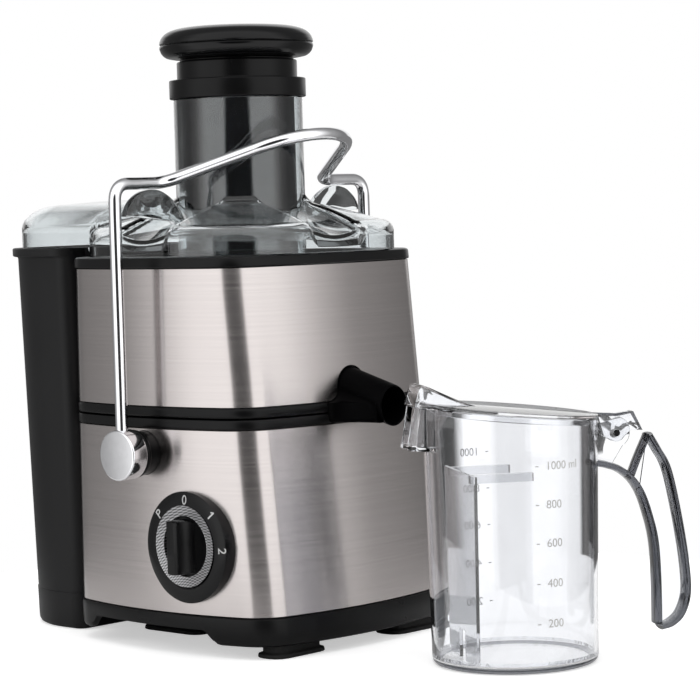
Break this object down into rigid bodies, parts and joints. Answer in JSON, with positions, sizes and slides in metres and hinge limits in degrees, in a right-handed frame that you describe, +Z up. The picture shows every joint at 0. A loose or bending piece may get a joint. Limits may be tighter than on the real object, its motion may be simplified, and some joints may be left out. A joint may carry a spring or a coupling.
{
  "type": "centrifugal juicer",
  "caption": "Counter-top centrifugal juicer with wide feed tube and pusher, locking arm, rotary control, pulp container and a lidded juice jug.",
  "frame": {"origin": "on the counter, under the middle of the whole object's outline", "axes": "+X from the pulp container to the jug, -Y the side with the rotary control, +Z up"},
  "size_m": [0.473, 0.243, 0.3999],
  "materials": {
    "stainless_sheet": "brushed along the height's normal, fine horizontal grain",
    "polished_steel": "mirror polished",
    "stamped_steel": "satin stamped sheet",
    "black_plastic": "satin black moulding",
    "matte_black_plastic": "fine matt black moulding",
    "smoked_clear": "clear plastic with a faint grey-green smoke",
    "dark_smoke": "dark smoked plastic, glossy",
    "clear_plastic": "clear plastic, faint blue-grey in the thick edges",
    "foot_rubber": "soft black rubber",
    "silver_paint": "fine metallic grey",
    "motor_iron": "varnished laminations",
    "winding_copper": "enamelled copper and laminations",
    "die_cast": "as cast alloy",
    "bearing_steel": "ground steel",
    "fan_nylon": "natural nylon"
  },
  "bodies": {
    "machine": {"base_skirt": "black_plastic", "bottom_plate": "matte_black_plastic", "foot_1": "foot_rubber", "foot_2": "foot_rubber", "foot_3": "foot_rubber", "foot_4": "foot_rubber", "motor_housing": "black_plastic", "lower_steel_band": "stainless_sheet", "bowl_shell": "black_plastic", "top_rim": "black_plastic", "juice_bowl": "black_plastic", "juice_spout": "black_plastic", "upper_steel_band": "stainless_sheet", "lid": "smoked_clear", "feed_tube": "smoked_clear", "stator": "motor_iron", "upper_end_frame": "die_cast", "lower_end_frame": "die_cast", "upper_bearing": "bearing_steel", "lower_bearing": "bearing_steel", "pivot_boss_near": "black_plastic", "pivot_boss_far": "black_plastic", "pivot_pin_near": "bearing_steel", "pivot_pin_far": "bearing_steel", "dial_bezel": "black_plastic", "switch_body": "fan_nylon"},
    "rotor": {"motor_shaft": "bearing_steel", "armature": "winding_copper", "cooling_fan": "fan_nylon", "drive_coupling": "matte_black_plastic", "basket_floor": "stamped_steel", "filter_basket": "stamped_steel", "basket_rim": "matte_black_plastic", "grater_disc": "stamped_steel", "basket_nut": "polished_steel"},
    "arm": {"arm_rod": "polished_steel", "arm_cap_near": "polished_steel", "arm_cap_far": "polished_steel", "arm_hub_near": "black_plastic", "arm_hub_far": "black_plastic"},
    "dial": {"dial_ring": "silver_paint", "dial_knob": "black_plastic", "switch_stem": "matte_black_plastic"},
    "pusher": {"pusher_body": "dark_smoke", "pusher_collar": "black_plastic", "pusher_cap_base": "black_plastic", "pusher_cap_top": "black_plastic"},
    "container": {"pulp_container": "matte_black_plastic"},
    "jug": {"jug": "clear_plastic", "jug_hinge_pin": "matte_black_plastic", "froth_separator": "clear_plastic"},
    "jug_cover": {"jug_lid": "clear_plastic"}
  },
  "joints": [
    {"name": "rotor_spin", "type": "hinge", "parent": "machine", "child": "rotor", "pos_m": [-0.05652, 0, 0.1], "axis": [0, 0, 1], "continuous": true},
    {"name": "arm_swing", "type": "hinge", "parent": "machine", "child": "arm", "pos_m": [-0.05252, 0, 0.127], "axis": [0, 1, 0], "range_deg": [0, 55]},
    {"name": "dial_turn", "type": "hinge", "parent": "machine", "child": "dial", "pos_m": [-0.01652, -0.1, 0.0695], "axis": [0, 1, 0], "range_deg": [-45, 100]},
    {"name": "pusher_slide", "type": "slide", "parent": "machine", "child": "pusher", "axis": [0, 0, 1], "range_m": [0, 0.11]},
    {"name": "container_slide", "type": "slide", "parent": "machine", "child": "container", "axis": [-1, 0, 0], "range_m": [0, 0.12]},
    {"name": "jug_slide", "type": "slide", "parent": "machine", "child": "jug", "axis": [1, 0, 0], "range_m": [0, 0.1]},
    {"name": "jug_cover_hinge", "type": "hinge", "parent": "jug", "child": "jug_cover", "pos_m": [0.20362, 0.05747, 0.137], "axis": [-0.8192, 0.5736, 0], "range_deg": [0, 85]}
  ]
}
